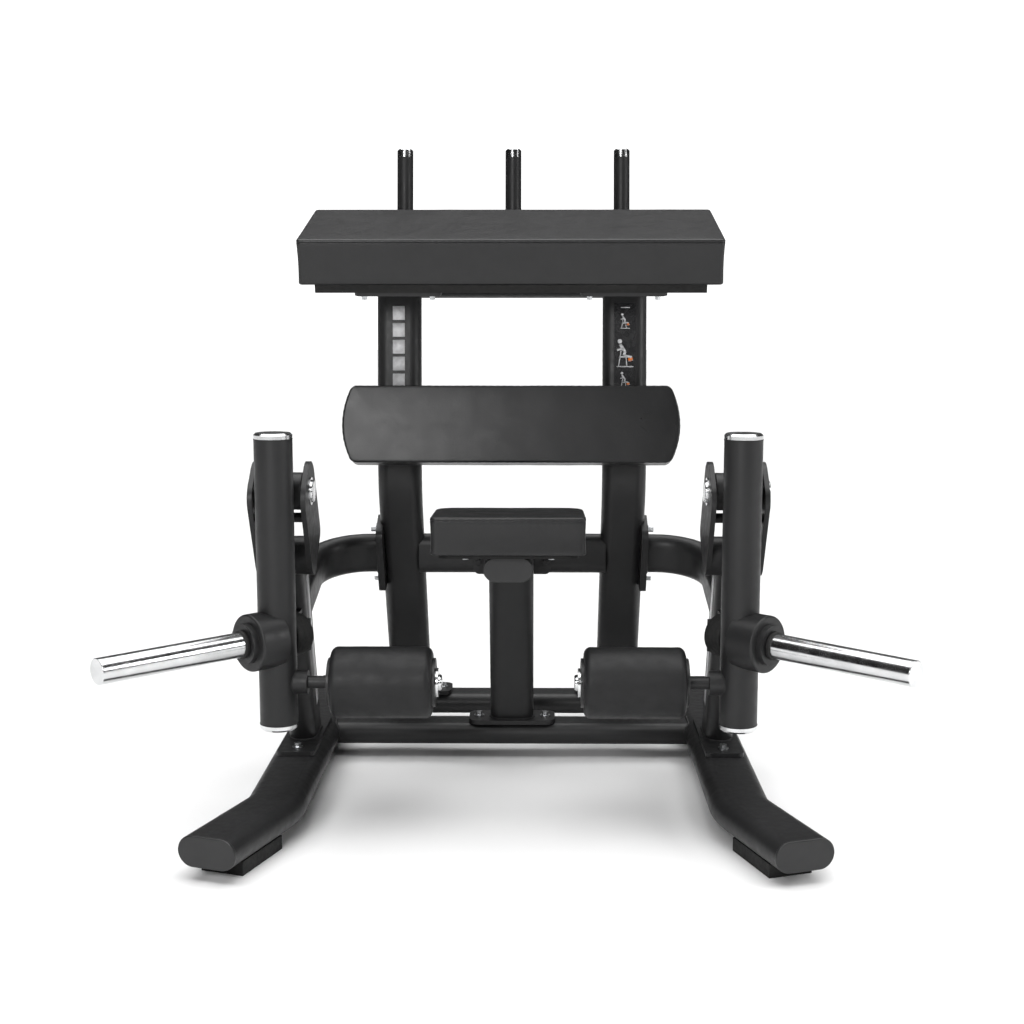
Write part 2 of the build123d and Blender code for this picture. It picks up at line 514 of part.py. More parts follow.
def make_knee_pad():
    """The knee pad, its board, and the tube that carries it forward from the mid cross tube."""
    plane = tilted(KNEE_EDGE, KNEE_TILT)
    half = KNEE_W / 2
    pad = slab(plane, (-half, half), (0, KNEE_D), (-KNEE_T, 0))
    for corner_r, picked in ((KNEE_FRONT_R, slice(0, 2)), (KNEE_REAR_R, slice(-2, None))):
        corners = pad.edges().filter_by(lambda edge: abs(edge.length - KNEE_T) < 0.01).sort_by(Axis.Y)
        pad = fillet(corners[picked], corner_r)
    keep("knee_pad", pad)
    base = -KNEE_T - KNEE_BOARD_T
    board_half = half - 14.0
    board = slab(plane, (-board_half, board_half), (12.0, KNEE_D - 14.0), (base, -KNEE_T - GAP), 28.0)
    keep("pad_boards", board)
    for x in (-KNEE_BOLT_X, KNEE_BOLT_X):
        for depth in (60.0, KNEE_D - 50.0):
            foot = plane.location * Pos(x, depth, base)
            keep("pad_bolts", bolt(tuple(foot.position), tuple(-Vector(*plane.z_dir)), 6.5, 5.0, 10.0))
    flange_y = MID_Y - TUBE_H / 2
    start = (plane.location * Pos(0, SUPPORT_FRONT, base - TUBE_H / 2)).position
    reach = (flange_y - PLATE - start.Y) / math.cos(math.radians(KNEE_TILT)) + 10.0
    finish = start + Vector(*plane.y_dir) * reach
    flange = block((-SUPPORT_FLANGE_HALF, flange_y - PLATE, MID_Z - SUPPORT_FLANGE_DOWN),
                   (SUPPORT_FLANGE_HALF, flange_y, MID_Z + SUPPORT_FLANGE_UP))
    keep("knee_support_flange", fillet(flange.edges().filter_by(Axis.Y), 14.0))
    wall_off = block((-300, flange_y - PLATE, 0), (300, 600, 1000))
    keep("knee_support_tube", run(tuple(start), tuple(finish), oval(TUBE_W, TUBE_H, WALL)) - wall_off)
    envelope = run(tuple(start), tuple(finish), oval(TUBE_W, TUBE_H)) - wall_off
    keep("tube_end_caps", end_cap(tuple(start), -Vector(*plane.y_dir), TUBE_W, TUBE_H))
    for x in (-SUPPORT_BOLT_X, SUPPORT_BOLT_X):
        for z in SUPPORT_BOLTS:
            keep("knee_support_flange", bolt((x, flange_y - PLATE, MID_Z + z), (0, -1, 0), 6.5, 6.0, 9.0))
    make_knee_post(envelope)


def make_knee_post(support):
    """The leaning post under the knee support, on its own foot plate."""
    foot_z = CROSS_TOP + PLATE

    def line(z):
        return (0, KNEE_POST_FOOT_Y - (z - foot_z) * math.tan(KNEE_POST_LEAN), z)
    body = run(line(foot_z - POST_RUN_ON_Z), line(KNEE_POST_TOP_Z), oval(TUBE_W, TUBE_H, WALL))
    body = body - support - block((-200, -200, 0), (200, 600, foot_z))
    keep("knee_post", body.solids().sort_by(SortBy.VOLUME)[-1])
    plate = block((-KNEE_FOOT_HALF, FRONT_CROSS_Y - FOOT_PLATE_D / 2, CROSS_TOP),
                  (KNEE_FOOT_HALF, FRONT_CROSS_Y + FOOT_PLATE_D / 2, foot_z))
    keep("knee_post_foot", fillet(plate.edges().filter_by(Axis.Z), 24.0))
    for x in (-KNEE_FOOT_BOLT, KNEE_FOOT_BOLT):
        keep("frame_bolts", bolt((x, FRONT_CROSS_Y, foot_z), (0, 0, 1)))


# ---------------------------------------------------------------- handles
def make_handles(upright_envelopes):
    """Three upright handles on a bar, which two arms carry behind the uprights."""
    lean = Vector(0, math.sin(HANDLE_LEAN), math.cos(HANDLE_LEAN))
    top = Vector(0, HANDLE_TOP_Y, HANDLE_TOP_Z)
    bar_y = top.Y - (HANDLE_TOP_Z - HANDLE_BAR_Z) * math.tan(HANDLE_LEAN)
    bar_end = HANDLE_X + HANDLE_BAR_REACH
    bar = drum((-bar_end, bar_y, HANDLE_BAR_Z), (1, 0, 0), HANDLE_BAR_R, 2 * bar_end)
    bar_tube = drum((-bar_end, bar_y, HANDLE_BAR_Z), (1, 0, 0), HANDLE_BAR_R, 2 * bar_end, HANDLE_BAR_R - WALL)
    keep("handle_bar", bar_tube)
    for side in (-1, 1):
        keep("tube_end_caps", drum((side * bar_end, bar_y, HANDLE_BAR_Z), (side, 0, 0), HANDLE_BAR_R, 4.0))
    for x in (-HANDLE_X, 0, HANDLE_X):
        end = Vector(x, top.Y, top.Z) - lean * HANDLE_CAP_H
        length = (HANDLE_TOP_Z - HANDLE_BAR_Z) / lean.Z - HANDLE_CAP_H
        post_tube = drum(tuple(end), tuple(-lean), HANDLE_R, length, HANDLE_R - WALL) - bar
        keep("handle_posts", post_tube.solids().sort_by(SortBy.VOLUME)[-1])
        cap = drum(tuple(end), tuple(lean), HANDLE_R, HANDLE_CAP_H)
        keep("handle_caps", chamfer(cap.edges().group_by(Axis.Z)[-1], 2.5))
    for (_, side), cut in zip(SIDES, upright_envelopes):
        x = side * UPRIGHT_X
        start = (x, BEND_Y + (BAR_ARM_Z - BEND_Z) * math.tan(UPPER_LEAN), BAR_ARM_Z)
        arm = run(start, (x, bar_y, HANDLE_BAR_Z), oval(BAR_ARM_W, BAR_ARM_H, WALL))
        keep("handle_bar_arms", (arm - cut - bar).solids().sort_by(SortBy.VOLUME)[-1])


def make_placard():
    """A thin instruction plate on the front of the right upright, below the forearm pad."""
    origin = Vector(UPRIGHT_X, BEND_Y + (PLATE_FOOT_Z - BEND_Z) * math.tan(UPPER_LEAN), PLATE_FOOT_Z)
    plane = Plane(origin=origin, x_dir=(1, 0, 0), z_dir=(0, -math.cos(UPPER_LEAN), math.sin(UPPER_LEAN)))
    front = TUBE_H / 2
    plate = block((-PLATE_HALF_W, 0.0, front), (PLATE_HALF_W, PLATE_L, front + PLATE_T))
    keep("instruction_plate", plane.location * plate)


def build():
    """Every sub-part, in the order the machine is put together."""
    make_base()
    envelopes = make_uprights()
    make_sides(envelopes)
    for name, side in SIDES:
        make_arm(name, side)
    make_forearm_pad()
    make_hip_pad(envelopes)
    make_knee_pad()
    make_handles(envelopes)
    make_placard()


def write():
    """One STEP file for each named sub-part."""
    os.makedirs("parts", exist_ok=True)
    for node, solids in PARTS.items():
        shape = solids[0] if len(solids) == 1 else Compound(children=solids)
        export_step(shape, f"parts/{node}.step")
    print(len(PARTS), "nodes written")


build()
write()
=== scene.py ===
import math

import bmesh
import bpy
from mathutils import Matrix, Vector, noise


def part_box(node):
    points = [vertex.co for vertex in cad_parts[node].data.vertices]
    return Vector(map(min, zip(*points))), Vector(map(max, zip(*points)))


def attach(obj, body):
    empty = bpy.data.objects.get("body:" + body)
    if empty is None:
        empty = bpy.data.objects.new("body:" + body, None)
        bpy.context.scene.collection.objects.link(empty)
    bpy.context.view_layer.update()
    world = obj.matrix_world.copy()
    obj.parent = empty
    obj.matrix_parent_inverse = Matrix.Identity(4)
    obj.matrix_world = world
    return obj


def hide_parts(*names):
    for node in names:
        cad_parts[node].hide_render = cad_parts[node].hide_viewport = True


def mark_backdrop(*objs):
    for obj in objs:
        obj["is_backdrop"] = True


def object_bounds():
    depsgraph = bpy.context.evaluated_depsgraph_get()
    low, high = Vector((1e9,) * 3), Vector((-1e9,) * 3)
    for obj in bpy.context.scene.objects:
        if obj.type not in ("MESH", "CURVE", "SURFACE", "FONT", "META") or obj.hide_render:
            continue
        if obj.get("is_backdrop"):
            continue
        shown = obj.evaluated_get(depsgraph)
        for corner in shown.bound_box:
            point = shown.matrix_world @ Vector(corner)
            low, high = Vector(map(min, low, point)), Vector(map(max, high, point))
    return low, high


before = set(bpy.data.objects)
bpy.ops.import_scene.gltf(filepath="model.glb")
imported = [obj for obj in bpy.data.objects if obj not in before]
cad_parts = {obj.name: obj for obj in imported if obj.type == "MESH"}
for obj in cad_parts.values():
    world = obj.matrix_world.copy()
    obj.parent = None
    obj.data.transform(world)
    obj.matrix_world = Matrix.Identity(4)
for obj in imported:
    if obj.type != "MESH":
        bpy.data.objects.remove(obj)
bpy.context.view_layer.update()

# ---------------------------------------------------------------- powder-coated base
# Two flat-oval rails joined by two flat-oval cross tubes, bent from steel and
# powder coated in a satin black with a fine grain. The cross tubes are welded
# to the rails' inner sides, and the beads are coated with the rest.
MM = 0.001
SIDES = (("left", -1), ("right", 1))
GRAIN_LOW = 0.3
GRAIN_HIGH = 0.7
BEVEL_SAMPLES = 4


def new_material(name, values):
    """A material whose main shader has these values on its sockets."""
    material = bpy.data.materials.new(name)
    material.use_nodes = True
    shader = material.node_tree.nodes["Principled BSDF"]
    for socket, value in values.items():
        shader.inputs[socket].default_value = value
    return material


def object_space(material, stretch=(1.0, 1.0, 1.0)):
    """Object coordinates, stretched along each axis."""
    tree = material.node_tree
    place = tree.nodes.new("ShaderNodeTexCoord")
    mapping = tree.nodes.new("ShaderNodeMapping")
    mapping.inputs["Scale"].default_value = stretch
    tree.links.new(place.outputs["Object"], mapping.inputs["Vector"])
    return mapping.outputs["Vector"]


def grain(material, per_metre, detail=3.0, stretch=(1.0, 1.0, 1.0)):
    """Smooth noise with this many lumps in a metre."""
    tree = material.node_tree
    texture = tree.nodes.new("ShaderNodeTexNoise")
    texture.inputs["Scale"].default_value = per_metre
    texture.inputs["Detail"].default_value = detail
    tree.links.new(object_space(material, stretch), texture.inputs["Vector"])
    return texture.outputs["Fac"]


def pebbles(material, per_metre):
    """The rounded cells of an embossed leather grain."""
    tree = material.node_tree
    texture = tree.nodes.new("ShaderNodeTexVoronoi")
    texture.feature = "SMOOTH_F1"
    texture.inputs["Scale"].default_value = per_metre
    tree.links.new(object_space(material), texture.inputs["Vector"])
    return texture.outputs["Distance"]


def spread(material, source, low, high, socket):
    """Runs a socket of the main shader from low to high as the source rises."""
    tree = material.node_tree
    reach = tree.nodes.new("ShaderNodeMapRange")
    reach.inputs["From Min"].default_value = GRAIN_LOW
    reach.inputs["From Max"].default_value = GRAIN_HIGH
    reach.inputs["To Min"].default_value = low
    reach.inputs["To Max"].default_value = high
    tree.links.new(source, reach.inputs["Value"])
    tree.links.new(reach.outputs["Result"], tree.nodes["Principled BSDF"].inputs[socket])


def tint(material, source, dark, light):
    """Runs the base colour from dark to light as the source rises."""
    tree = material.node_tree
    ramp = tree.nodes.new("ShaderNodeValToRGB")
    stops = ((GRAIN_LOW, dark), (GRAIN_HIGH, light))
    for element, (position, colour) in zip(ramp.color_ramp.elements, stops):
        element.position = position
        element.color = (*colour, 1.0)
    tree.links.new(source, ramp.inputs["Fac"])
    tree.links.new(ramp.outputs["Color"], tree.nodes["Principled BSDF"].inputs["Base Color"])


def emboss(material, layers, edge=0.0):
    """Bumps from (source, height in metres) layers, over edges rounded by a radius."""
    tree = material.node_tree
    normal = None
    if edge:
        rounding = tree.nodes.new("ShaderNodeBevel")
        rounding.samples = BEVEL_SAMPLES
        rounding.inputs["Radius"].default_value = edge
        normal = rounding.outputs["Normal"]
    for source, height in layers:
        bump = tree.nodes.new("ShaderNodeBump")
        bump.inputs["Distance"].default_value = height
        tree.links.new(source, bump.inputs["Height"])
        if normal:
            tree.links.new(normal, bump.inputs["Normal"])
        normal = bump.outputs["Normal"]
    tree.links.new(normal, tree.nodes["Principled BSDF"].inputs["Normal"])


def finish_nodes(material, *names):
    """Gives these CAD nodes a material in each of their slots."""
    for name in names:
        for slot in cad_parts[name].material_slots:
            slot.material = material


def add_piece(name, mesh, material, body):
    """Makes a smooth-shaded object of a finished mesh and fixes it to a body."""
    bmesh.ops.recalc_face_normals(mesh, faces=mesh.faces)
    for face in mesh.faces:
        face.smooth = True
    data = bpy.data.meshes.new(name)
    mesh.to_mesh(data)
    mesh.free()
    data.materials.append(material)
    piece = bpy.data.objects.new(name, data)
    bpy.context.scene.collection.objects.link(piece)
    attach(piece, body)
    return piece


powder_coat = new_material("powder_coat", {"Specular IOR Level": 0.36})
coat_patches = grain(powder_coat, 9.0)
tint(powder_coat, coat_patches, (0.0105, 0.0105, 0.011), (0.0155, 0.0155, 0.016))
spread(powder_coat, grain(powder_coat, 60.0), 0.38, 0.50, "Roughness")
coat_bumps = ((grain(powder_coat, 420.0), 0.12 * MM), (grain(powder_coat, 1500.0), 0.05 * MM))
emboss(powder_coat, coat_bumps, 1.2 * MM)
finish_nodes(powder_coat, "left_base_rail", "right_base_rail", "front_cross_tube", "rear_cross_tube")

WELD_R = 3.0 * MM
SMALL_WELD_R = 1.9 * MM
GASKET_R = 0.9 * MM
BEAD_STEP = 1.2 * MM
BEAD_SIDES = 6
RIPPLE = 0.18
RIPPLE_LENGTH = 4.2 * MM


def rounded_outline(half_x, half_y, radii, corner_steps=10):
    """Corner points of a rounded rectangle; radii are for its low-y and its high-y corners."""
    points = []
    corners = ((1, -1, -90), (1, 1, 0), (-1, 1, 90), (-1, -1, 180))
    for sign_x, sign_y, first in corners:
        radius = radii[0] if sign_y < 0 else radii[1]
        centre_x = sign_x * (half_x - radius)
        centre_y = sign_y * (half_y - radius)
        for step in range(corner_steps + 1):
            angle = math.radians(first + 90.0 * step / corner_steps)
            points.append((centre_x + radius * math.cos(angle), centre_y + radius * math.sin(angle)))
    return points


def even_steps(points, step):
    """A closed outline's points again, each a step on from the last."""
    walk = []
    debt = 0.0
    for here, there in zip(points, points[1:] + points[:1]):
        length = math.dist(here, there)
        while debt < length:
            share = debt / length
            x = here[0] + (there[0] - here[0]) * share
            y = here[1] + (there[1] - here[1]) * share
            walk.append((x, y))
            debt += step
        debt -= length
    return walk


def tube_outline(half_long, half_short):
    """Even points round a flat-oval tube's section, long way first."""
    return even_steps(rounded_outline(half_long, half_short, (half_short, half_short)), BEAD_STEP)


def join_rings(mesh, rings, closed):
    """Faces between each ring of vertices and the next."""
    followers = rings[1:] + rings[:1] if closed else rings[1:]
    for ring, follower in zip(rings, followers):
        count = len(ring)
        for index in range(count):
            beside = (index + 1) % count
            mesh.faces.new((ring[index], ring[beside], follower[beside], follower[index]))


def bead(mesh, loop, axis, radius=WELD_R, ripple=RIPPLE):
    """A bead along a closed loop round a tube with this axis: a rippled weld, or a smooth ring."""
    axis = Vector(axis).normalized()
    count = len(loop)
    rings = []
    for index, point in enumerate(loop):
        ahead = (loop[(index + 1) % count] - loop[index - 1]).normalized()
        outward = ahead.cross(axis).normalized()
        swell = 1.0 + ripple * math.sin(math.tau * index * BEAD_STEP / RIPPLE_LENGTH)
        ring = []
        for side in range(BEAD_SIDES):
            angle = math.tau * side / BEAD_SIDES
            reach = outward * math.cos(angle) + axis * math.sin(angle)
            ring.append(mesh.verts.new(point + reach * radius * swell))
        rings.append(ring)
    join_rings(mesh, rings, closed=True)


rail_low, rail_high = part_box("right_base_rail")
rail_z = (rail_low.z + rail_high.z) / 2
rail_round = (rail_high.z - rail_low.z) / 2
rail_inner = rail_low.x
frame_welds = bmesh.new()
for tube in ("front_cross_tube", "rear_cross_tube"):
    low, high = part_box(tube)
    middle = (low + high) / 2
    for _, side in SIDES:
        loop = []
        for across, up in tube_outline((high.y - low.y) / 2, (high.z - low.z) / 2):
            bulge = math.sqrt(rail_round ** 2 - (middle.z + up - rail_z) ** 2)
            x = side * (rail_inner + rail_round - bulge)
            loop.append(Vector((x, middle.y + across, middle.z + up)))
        bead(frame_welds, loop, (1, 0, 0))

# ---------------------------------------------------------------- end caps and feet
# Pressed-in plastic caps close the tubes' open ends and moulded rubber feet sit
# under the rails. The plastic is a little glossier than the coat, the rubber duller.
black_plastic = new_material("black_plastic", {"Specular IOR Level": 0.45})
tint(black_plastic, grain(black_plastic, 14.0), (0.011, 0.011, 0.0115), (0.017, 0.017, 0.0175))
spread(black_plastic, grain(black_plastic, 80.0), 0.34, 0.46, "Roughness")
emboss(black_plastic, ((grain(black_plastic, 900.0), 0.06 * MM),), 1.0 * MM)
finish_nodes(black_plastic, "tube_end_caps")

black_rubber = new_material("black_rubber", {"Specular IOR Level": 0.3})
tint(black_rubber, grain(black_rubber, 20.0), (0.009, 0.009, 0.009), (0.019, 0.019, 0.0185))
spread(black_rubber, grain(black_rubber, 120.0), 0.62, 0.82, "Roughness")
emboss(black_rubber, ((grain(black_rubber, 700.0), 0.14 * MM),), 1.5 * MM)
finish_nodes(black_rubber, "rail_feet", "arm_bumpers")

# ---------------------------------------------------------------- uprights, side posts and arches
# Bent flat-oval uprights and leaning side posts, each welded to a foot plate that
# is bolted down. Curved arch tubes tie the posts to a flange on each upright.
finish_nodes(
    powder_coat, "left_upright", "right_upright", "upright_feet", "mid_cross_tube",
    "left_side_post", "right_side_post", "post_bases", "left_arch_tube", "right_arch_tube",
    "arch_flanges", "bumper_brackets", "bracket_spacers", "left_pivot_plates", "right_pivot_plates",
)
# A tube's lean from upright, in degrees, and its size fore and aft, where it meets its foot plate.
LEANING_FEET = {
    "left_upright": (26.2, 50.0 * MM, "upright_feet"),
    "right_upright": (26.2, 50.0 * MM, "upright_feet"),
    "left_side_post": (20.5, 120.0 * MM, "post_bases"),
    "right_side_post": (20.5, 120.0 * MM, "post_bases"),
    "knee_post": (17.5, 50.0 * MM, "knee_post_foot"),
}
for post, (lean, depth, plate) in LEANING_FEET.items():
    low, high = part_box(post)
    half_x = (high.x - low.x) / 2
    half_y = depth / 2 / math.cos(math.radians(lean))
    corner = min(half_x, half_y)
    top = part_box(plate)[1].z
    outline = even_steps(rounded_outline(half_x, half_y, (corner, corner)), BEAD_STEP)
    loop = [Vector(((low.x + high.x) / 2 + x, high.y - half_y + y, top)) for x, y in outline]
    bead(frame_welds, loop, (0, 0, 1))

mid_low, mid_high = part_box("mid_cross_tube")
flange_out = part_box("arch_flanges")[1].x
half_y = (mid_high.y - mid_low.y) / 2
half_z = (mid_high.z - mid_low.z) / 2
middle = (mid_low + mid_high) / 2
outline = even_steps(rounded_outline(half_y, half_z, (half_y, half_y)), BEAD_STEP)
for _, side in SIDES:
    loop = [Vector((side * flange_out, middle.y + y, middle.z + z)) for y, z in outline]
    bead(frame_welds, loop, (1, 0, 0))

# ---------------------------------------------------------------- knee post and handle bar
# The knee pad stands on a flat-oval support tube with its own leaning post. Three
# round grips rise from a bar behind the forearm pad, each with a bright cap.
finish_nodes(
    powder_coat, "knee_post", "knee_post_foot", "knee_support_tube", "knee_support_flange",
    "handle_bar", "handle_bar_arms", "handle_posts", "forearm_pad_plates", "hip_pad_brackets",
)
# The support tube is twice as wide as it is tall.
low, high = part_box("knee_support_tube")
half_x = (high.x - low.x) / 2
half_z = half_x / 2
loop = [Vector((x, high.y, low.z + half_z + z)) for x, z in tube_outline(half_x, half_z)]
bead(frame_welds, loop, (0, 1, 0))

GRIP_R = 19.0 * MM
GRIP_LEAN = math.radians(8.0)
bar_low, bar_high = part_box("handle_bar")
grip_low, grip_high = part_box("handle_posts")
bar_r = (bar_high.z - bar_low.z) / 2
bar_middle = (bar_low + bar_high) / 2
grip_axis = Vector((0, math.sin(GRIP_LEAN), math.cos(GRIP_LEAN)))
grip_across = Vector((0, math.cos(GRIP_LEAN), -math.sin(GRIP_LEAN)))
for x in (grip_low.x + GRIP_R, 0.0, grip_high.x - GRIP_R):
    loop = []
    for across, along in tube_outline(GRIP_R, GRIP_R):
        rise = math.sqrt(bar_r ** 2 - along ** 2)
        root = Vector((x + across, bar_high.y - bar_r, bar_middle.z))
        loop.append(root + grip_across * along + grip_axis * rise)
    bead(frame_welds, loop, grip_axis)
add_piece("frame_weld_beads", frame_welds, powder_coat, "frame")

chrome = new_material("chrome", {"Metallic": 1.0})
tint(chrome, grain(chrome, 25.0), (0.60, 0.605, 0.61), (0.74, 0.745, 0.75))
spread(chrome, grain(chrome, 45.0), 0.15, 0.25, "Roughness")
emboss(chrome, ((grain(chrome, 1200.0, stretch=(1.0, 1.0, 0.2)), 0.004 * MM),))
finish_nodes(
    chrome, "handle_caps", "pivot_shaft_caps", "left_arm_caps", "right_arm_caps",
    "left_axle_retainer", "right_axle_retainer", "left_weight_horn", "right_weight_horn",
)

# ---------------------------------------------------------------- bolts and shafts
# Zinc-plated bolts, washers and turned shafts, greyer and softer than the chrome,
# with faint tool marks.
zinc = new_material("zinc_plate", {"Metallic": 1.0})
tint(zinc, grain(zinc, 90.0), (0.42, 0.43, 0.44), (0.6, 0.61, 0.62))
spread(zinc, grain(zinc, 200.0), 0.24, 0.4, "Roughness")
emboss(zinc, ((grain(zinc, 1600.0, stretch=(1.0, 0.3, 1.0)), 0.01 * MM),))
finish_nodes(
    zinc, "frame_bolts", "pad_bolts", "pivot_shafts", "left_pivot_bearings", "right_pivot_bearings",
)

# ---------------------------------------------------------------- arms
# Each arm is a round tube hung from a pivot housing, with bright caps, a hub for
# its weight horn and a boss for the roller's axle. A bead joins boss and tube.
WASHER_R = 3.4 * MM
HORN_WASHERS = 2
BOSS_R = 24.0 * MM
for name, side in SIDES:
    finish_nodes(
        powder_coat, f"{name}_arm_tube", f"{name}_arm_bosses", f"{name}_pivot_housing",
        f"{name}_roller_axle",
    )
    finish_nodes(black_plastic, f"{name}_roller_core")
    tube_low, tube_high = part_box(f"{name}_arm_tube")
    axle_low, axle_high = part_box(f"{name}_roller_axle")
    tube_r = (tube_high.y - tube_low.y) / 2
    tube_middle = (tube_low + tube_high) / 2
    axle_z = (axle_low.z + axle_high.z) / 2
    arm_welds = bmesh.new()
    loop = []
    for across, up in tube_outline(BOSS_R, BOSS_R):
        inset = math.sqrt(tube_r ** 2 - across ** 2)
        loop.append(Vector((tube_middle.x - side * inset, tube_middle.y + across, axle_z + up)))
    bead(arm_welds, loop, (1, 0, 0), SMALL_WELD_R)
    add_piece(f"{name}_arm_weld_bead", arm_welds, powder_coat, f"{name}_arm")

    gaskets = bmesh.new()
    rim = tube_outline(tube_r, tube_r)
    for z in (tube_low.z, tube_high.z):
        loop = [Vector((tube_middle.x + x, tube_middle.y + y, z)) for x, y in rim]
        bead(gaskets, loop, (0, 0, 1), GASKET_R, ripple=0.0)
    horn_low, horn_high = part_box(f"{name}_weight_horn")
    horn_r = (horn_high.z - horn_low.z) / 2
    horn_axis = Vector((side, -1, 0)).normalized()
    horn_across = Vector((side, 1, 0)).normalized()
    root_x = horn_low.x if side > 0 else horn_high.x
    root = Vector((root_x, horn_high.y, (horn_low.z + horn_high.z) / 2)) + horn_axis * horn_r
    for _ in range(HORN_WASHERS):
        root += horn_axis * WASHER_R
        loop = [root + horn_across * x + Vector((0, 0, y)) for x, y in tube_outline(horn_r, horn_r)]
        bead(gaskets, loop, horn_axis, WASHER_R, ripple=0.0)
    add_piece(f"{name}_arm_gaskets", gaskets, black_rubber, f"{name}_arm")

# ---------------------------------------------------------------- pad boards
# Painted plywood boards under the upholstery, their grain running side to side.
pad_board = new_material("painted_board", {"Specular IOR Level": 0.25})
board_grain = grain(pad_board, 60.0, stretch=(0.08, 1.0, 1.0))
tint(pad_board, board_grain, (0.006, 0.006, 0.006), (0.013, 0.0125, 0.012))
spread(pad_board, grain(pad_board, 90.0), 0.6, 0.78, "Roughness")
emboss(pad_board, ((grain(pad_board, 300.0, stretch=(0.06, 1.0, 1.0)), 0.3 * MM),))
finish_nodes(pad_board, "pad_boards")

# ---------------------------------------------------------------- upholstered pads
# Firm foam blocks in black vinyl with a faint sheen. A top panel is sewn to a side band just
# under its rounded edge, and the vinyl is pulled down over the board.
vinyl = new_material("black_vinyl", {
    "Specular IOR Level": 0.3,
    "Coat Weight": 0.22,
    "Coat Roughness": 0.24,
})
tint(vinyl, grain(vinyl, 7.0), (0.0055, 0.0055, 0.006), (0.0085, 0.0085, 0.009))
spread(vinyl, grain(vinyl, 30.0), 0.38, 0.48, "Roughness")
emboss(vinyl, ((pebbles(vinyl, 750.0), 0.14 * MM), (grain(vinyl, 160.0), 0.18 * MM)))
thread = new_material("black_thread", {"Specular IOR Level": 0.25, "Roughness": 0.7})
tint(thread, grain(thread, 1500.0), (0.012, 0.012, 0.012), (0.03, 0.03, 0.03))

TOP_R = 4.5 * MM
BOTTOM_R = 4.0 * MM
CROWN = 1.2 * MM
CROWN_REACH = 30.0 * MM
WAIST = 1.2 * MM
SEAM_DROP = 0.8 * MM
SEAM = ((0.0, 0.0), (0.2, 0.5), (1.1, 1.0), (1.1, 1.3), (0.2, 1.8), (0.0, 2.6))
SAME_DEPTH = 0.01 * MM
# Insets of the rings across a pad's face and its board side, as shares of half its width.
FACE_SHARES = (0.985, 0.85, 0.7, 0.55, 0.42, 0.32, 0.24, 0.17, 0.12, 0.085)
BOARD_SHARES = (0.2, 0.5, 0.985)
TOP_STEPS = 7
SIDE_STEPS = 10
BOTTOM_STEPS = 5
LEAST_CORNER = 0.4 * MM
PAD_STEP = 2.6 * MM
PUCKER = 0.22 * MM
PUCKER_LENGTH = 15.0 * MM
PUCKER_REACH = 7.0 * MM
RELIEF = 0.3 * MM
RELIEF_PER_METRE = 16.0
RELIEF_SINK = 0.6
STITCH_PITCH = 6.0 * MM
STITCH_SIZE = (3.8 * MM, 0.9 * MM, 0.8 * MM)


def pad_section(half_width, thickness):
    """(inset, depth) down a pad, from the middle of its face, over its side, to the board."""
    section = []
    for share in FACE_SHARES:
        inset = half_width * share
        section.append((inset, CROWN * math.exp(-(inset - TOP_R) / CROWN_REACH)))
    for step in range(TOP_STEPS + 1):
        angle = math.radians(90.0 * step / TOP_STEPS)
        section.append((TOP_R * (1 - math.sin(angle)), CROWN + TOP_R * (1 - math.cos(angle))))
    seam_top = CROWN + TOP_R + SEAM_DROP
    section += [(inset * MM, seam_top + depth * MM) for inset, depth in SEAM]
    side_top = seam_top + SEAM[-1][1] * MM
    side_end = thickness - BOTTOM_R
    for step in range(1, SIDE_STEPS):
        share = step / SIDE_STEPS
        section.append((WAIST * math.sin(math.pi * share), side_top + (side_end - side_top) * share))
    for step in range(BOTTOM_STEPS + 1):
        angle = math.radians(90.0 * step / BOTTOM_STEPS)
        section.append((BOTTOM_R * (1 - math.cos(angle)), side_end + BOTTOM_R * math.sin(angle)))
    section += [(half_width * share, thickness) for share in BOARD_SHARES]
    return section


def pad_place(node, turn):
    """(matrix, half width, thickness) of a pad's face from its CAD box and its turn about X."""
    low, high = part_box(node)
    cosine = math.cos(turn)
    sine = abs(math.sin(turn))
    span = cosine ** 2 - sine ** 2
    size_y = high.y - low.y
    size_z = high.z - low.z
    width = (size_y * cosine - size_z * sine) / span
    thickness = (size_z * cosine - size_y * sine) / span
    place = Matrix.Translation((low + high) / 2) @ Matrix.Rotation(turn, 4, "X")
    return place @ Matrix.Translation((0, 0, thickness / 2)), width / 2, thickness


def matched_steps(outline, count):
    """This many even points round an outline, from its first point."""
    length = sum(math.dist(here, there) for here, there in zip(outline, outline[1:] + outline[:1]))
    return (even_steps(outline, length / count) + outline[:1])[:count]


def stitch_row(name, loop, place):
    """Short straight stitches laid along a seam."""
    stitches = bmesh.new()
    every = max(1, round(STITCH_PITCH / PAD_STEP))
    for index in range(0, len(loop) - every, every):
        here = loop[index]
        ahead = (loop[index + 1] - loop[index - 1]).normalized()
        across = ahead.cross(Vector((0, 0, 1)))
        axes = Matrix((ahead, across, (0, 0, 1))).transposed().to_4x4()
        sizes = Matrix.Diagonal((*STITCH_SIZE, 1.0))
        bmesh.ops.create_cube(stitches, size=1.0, matrix=Matrix.Translation(here) @ axes @ sizes)
    stitches.transform(place)
    add_piece(name, stitches, thread, "frame")


